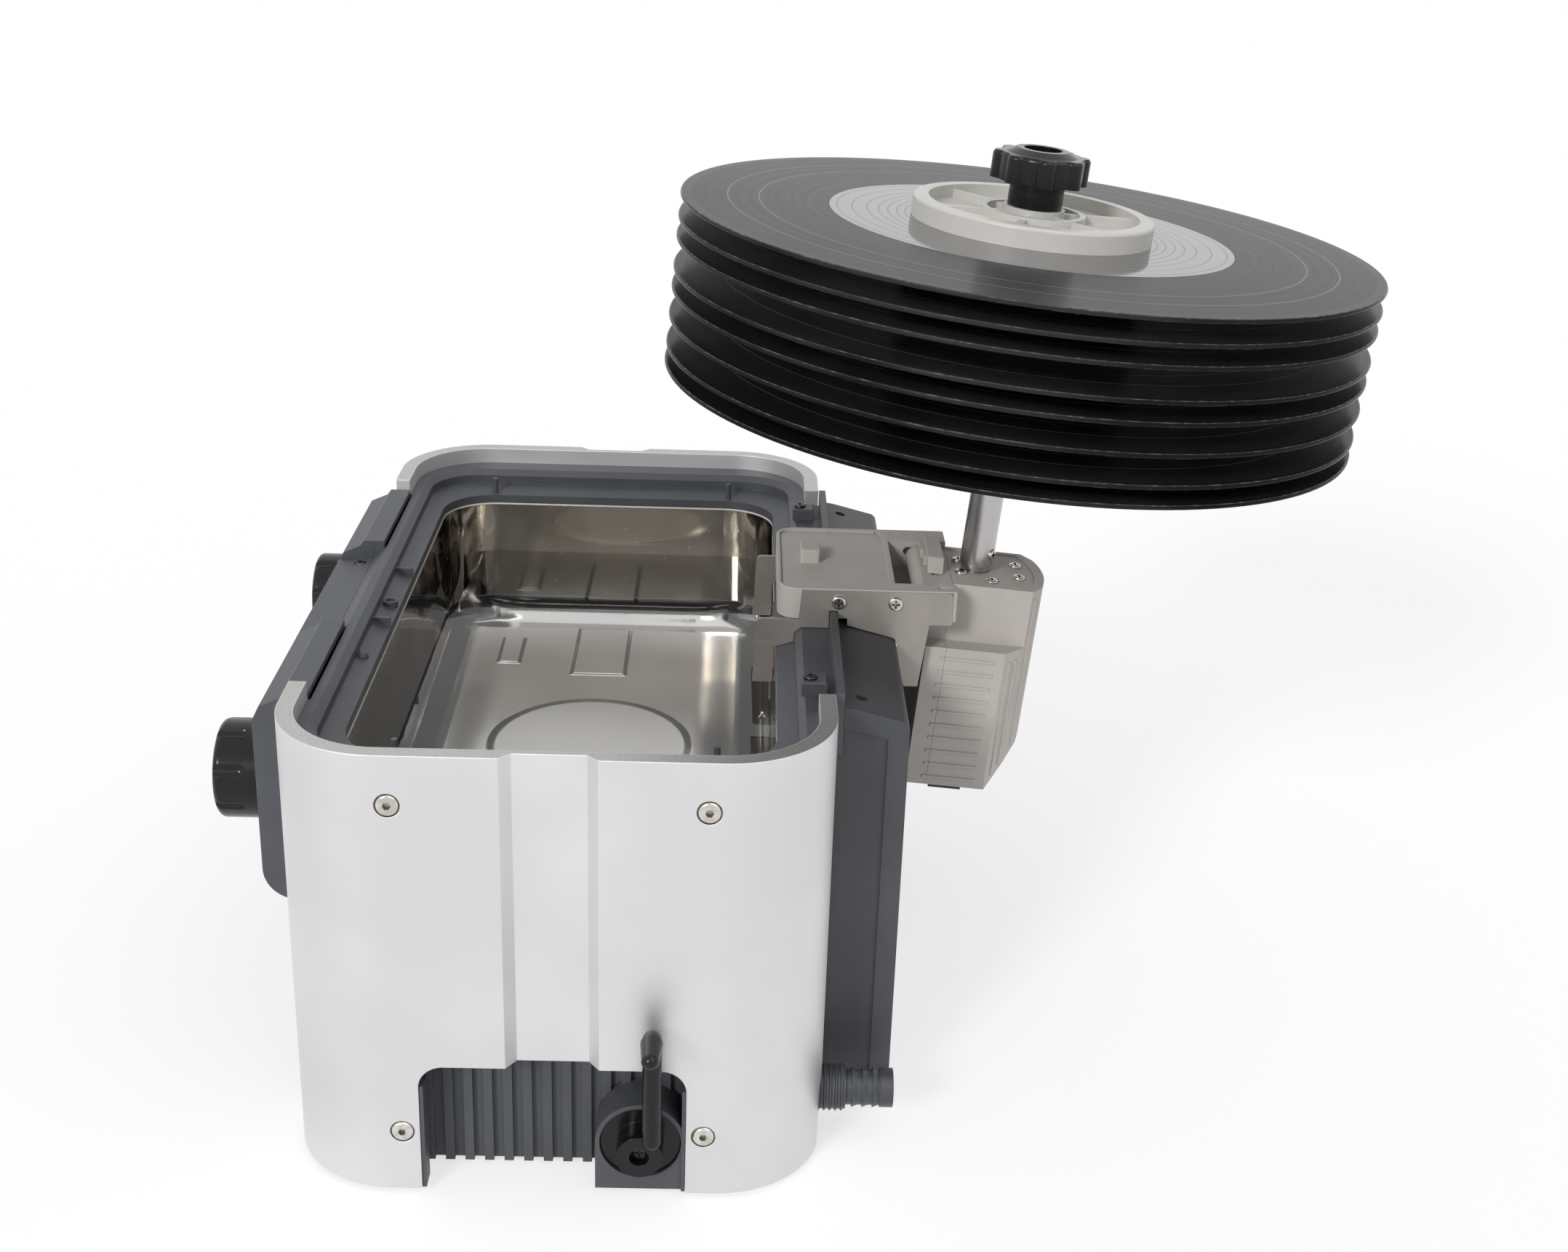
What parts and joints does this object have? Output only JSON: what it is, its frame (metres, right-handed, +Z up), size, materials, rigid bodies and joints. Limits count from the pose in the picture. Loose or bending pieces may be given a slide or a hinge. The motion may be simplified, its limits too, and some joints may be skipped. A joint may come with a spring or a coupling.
{
  "type": "record cleaning machine",
  "caption": "Bench-top ultrasonic record cleaning machine: steel water tank between aluminium end shells, with a clip-on motor arm that turns a stack of records and tilts them into the tank.",
  "frame": {"origin": "bottom centre of the whole machine's box at rest, on the table under the feet", "axes": "+Z up; +X from the knob side towards the arm side; -Y towards the end with the drain lever"},
  "size_m": [0.487, 0.4142, 0.3964],
  "materials": {
    "shell_aluminium": "bead-blasted, edges machined bright",
    "bright_steel": "polished nickel-plated",
    "body_plastic": "fine-textured dark grey",
    "tank_steel": "polished stainless sheet",
    "seal_rubber": "black, matte",
    "transducer_metal": "turned",
    "heater_mat": "silicone mat",
    "board": "circuit board",
    "pipe_plastic": "clear-grey hose",
    "brass": "turned brass",
    "black_plastic": "black, lightly textured",
    "black_gloss": "glossy black",
    "bridge_plastic": "warm mid grey, textured",
    "plate_steel": "brushed stainless",
    "motor_metal": "plated",
    "record_vinyl": "black, grooved",
    "disc_plastic": "cream grey",
    "control_plastic": "dark grey"
  },
  "bodies": {
    "machine": {"near_shell": "shell_aluminium", "far_shell": "shell_aluminium", "shell_screws": "bright_steel", "bezel": "body_plastic", "lid_hinge_blocks": "black_plastic", "cross_head_screws": "bright_steel", "tank": "tank_steel", "tank_gasket": "seal_rubber", "transducers": "transducer_metal", "heater_pad": "heater_mat", "driver_board": "board", "cabinet": "body_plastic", "base_plate": "body_plastic", "feet": "seal_rubber", "drain_pipe": "pipe_plastic", "valve_body": "brass", "valve_housing": "body_plastic", "drain_spout": "body_plastic", "front_casing": "body_plastic", "panel_cover": "body_plastic", "timer_switch": "control_plastic", "thermostat": "control_plastic", "rear_casing": "body_plastic", "mains_inlet": "black_plastic", "switch_frame": "black_plastic"},
    "drain_lever": {"drain_lever": "black_gloss", "lever_screw": "black_plastic", "lever_grip": "black_gloss", "valve_stem": "brass", "valve_ball": "bright_steel"},
    "time_knob": {"time_knob": "black_gloss"},
    "temperature_knob": {"temperature_knob": "black_gloss"},
    "rocker": {"rocker": "black_gloss"},
    "bridge": {"bridge_cover": "bridge_plastic", "near_hanger_plate": "plate_steel", "far_hanger_plate": "plate_steel", "plate_screws": "bright_steel", "pivot_pin": "bright_steel"},
    "motor_box": {"motor_housing_inner": "bridge_plastic", "motor_housing_outer": "bridge_plastic", "motor_cap": "bridge_plastic", "motor_cap_screws": "bright_steel", "gear_motor": "motor_metal", "arm_power_inlet": "black_plastic"},
    "tilt_catch": {"tilt_catch": "bridge_plastic"},
    "spindle": {"spindle": "bright_steel", "spindle_sleeve": "plate_steel", "sleeve_screw": "bright_steel", "support_disc": "disc_plastic", "records": "record_vinyl", "record_spacers": "disc_plastic", "clamp_disc": "disc_plastic"},
    "clamp_knob": {"clamp_knob": "black_gloss"}
  },
  "joints": [
    {"name": "bridge_lift", "type": "slide", "parent": "machine", "child": "bridge", "axis": [0, 0, 1], "range_m": [0, 0.04]},
    {"name": "arm_tilt", "type": "hinge", "parent": "bridge", "child": "motor_box", "pos_m": [0.055, 0.01395, 0.2012], "axis": [0, -1, 0], "range_deg": [0, 94.75]},
    {"name": "spindle_turn", "type": "hinge", "parent": "motor_box", "child": "spindle", "pos_m": [0.08, 0.01395, 0.2048], "axis": [0.0828, 0, 0.9966], "continuous": true},
    {"name": "clamp_knob_turn", "type": "hinge", "parent": "spindle", "child": "clamp_knob", "pos_m": [0.09408, 0.01395, 0.37422], "axis": [0.0828, 0, 0.9966], "continuous": true},
    {"name": "tilt_catch_slide", "type": "slide", "parent": "motor_box", "child": "tilt_catch", "axis": [0, -1, 0], "range_m": [0, 0.003], "stiffness_N_per_m": 300, "springref_m": -0.002},
    {"name": "time_knob_turn", "type": "hinge", "parent": "machine", "child": "time_knob", "pos_m": [-0.2325, -0.08555, 0.1443], "axis": [1, 0, 0], "range_deg": [0, 300]},
    {"name": "temperature_knob_turn", "type": "hinge", "parent": "machine", "child": "temperature_knob", "pos_m": [-0.2325, 0.11345, 0.1443], "axis": [1, 0, 0], "range_deg": [0, 270]},
    {"name": "drain_lever_turn", "type": "hinge", "parent": "machine", "child": "drain_lever", "pos_m": [-0.0626, -0.17605, 0.0245], "axis": [0, 1, 0], "range_deg": [0, 90]},
    {"name": "rocker_tip", "type": "hinge", "parent": "machine", "child": "rocker", "pos_m": [0.0388, 0.09195, 0.0762], "axis": [0, 1, 0], "range_deg": [0, 12]}
  ]
}
